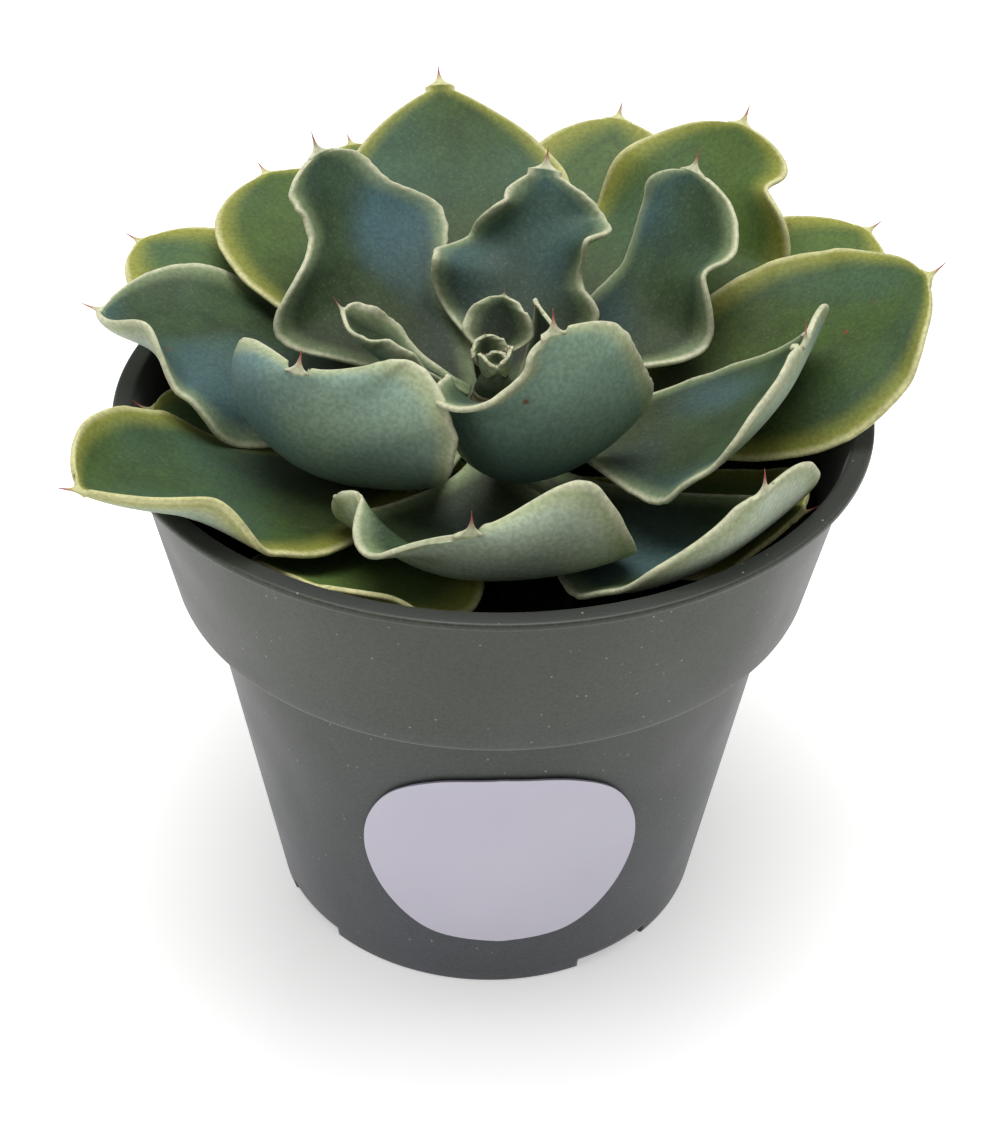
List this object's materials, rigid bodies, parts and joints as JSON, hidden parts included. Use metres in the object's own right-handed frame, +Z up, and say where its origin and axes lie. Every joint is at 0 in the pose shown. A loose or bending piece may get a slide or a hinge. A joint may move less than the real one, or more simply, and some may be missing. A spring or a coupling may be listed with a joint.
{
  "type": "potted succulent",
  "caption": "Broad-leaved rosette succulent with wavy, sharp-tipped blue-green leaves on a short stem, growing in a tapered plastic nursery pot with a bare sticker.",
  "frame": {"origin": "centre of the pot's base, on the surface that it stands on", "axes": "+Z up along the pot's axis; -Y is the side with the sticker, towards the viewer of the picture; +X to the viewer's right"},
  "size_m": [0.173, 0.17, 0.1574],
  "materials": {
    "pot_plastic": "moulded dark green polypropylene, fine satin grain, faint dust",
    "sticker_film": "plain pale lilac-white paper sticker",
    "peat": "dark damp peat and bark crumbs",
    "stem_bark": "dull corky stem",
    "young_leaf": "fleshy blue-green leaf with a powdery bloom and a pale margin",
    "old_leaf": "fleshy leaf, green to yellow-green at the margin, thin bloom"
  },
  "bodies": {
    "root": {"pot": "pot_plastic", "sticker": "sticker_film", "potting_soil": "peat", "stem": "stem_bark", "heart": "young_leaf", "leaf_01": "young_leaf", "leaf_02": "young_leaf", "leaf_03": "young_leaf", "leaf_04": "young_leaf", "leaf_05": "young_leaf", "leaf_06": "young_leaf", "leaf_07": "young_leaf", "leaf_08": "young_leaf", "leaf_09": "young_leaf", "leaf_10": "young_leaf", "leaf_11": "young_leaf", "leaf_12": "young_leaf", "leaf_13": "old_leaf", "leaf_14": "old_leaf", "leaf_15": "old_leaf", "leaf_16": "old_leaf", "leaf_17": "old_leaf", "leaf_18": "old_leaf", "leaf_19": "old_leaf", "leaf_20": "old_leaf", "leaf_21": "old_leaf", "leaf_22": "old_leaf", "leaf_23": "old_leaf", "leaf_24": "old_leaf"}
  },
  "joints": []
}
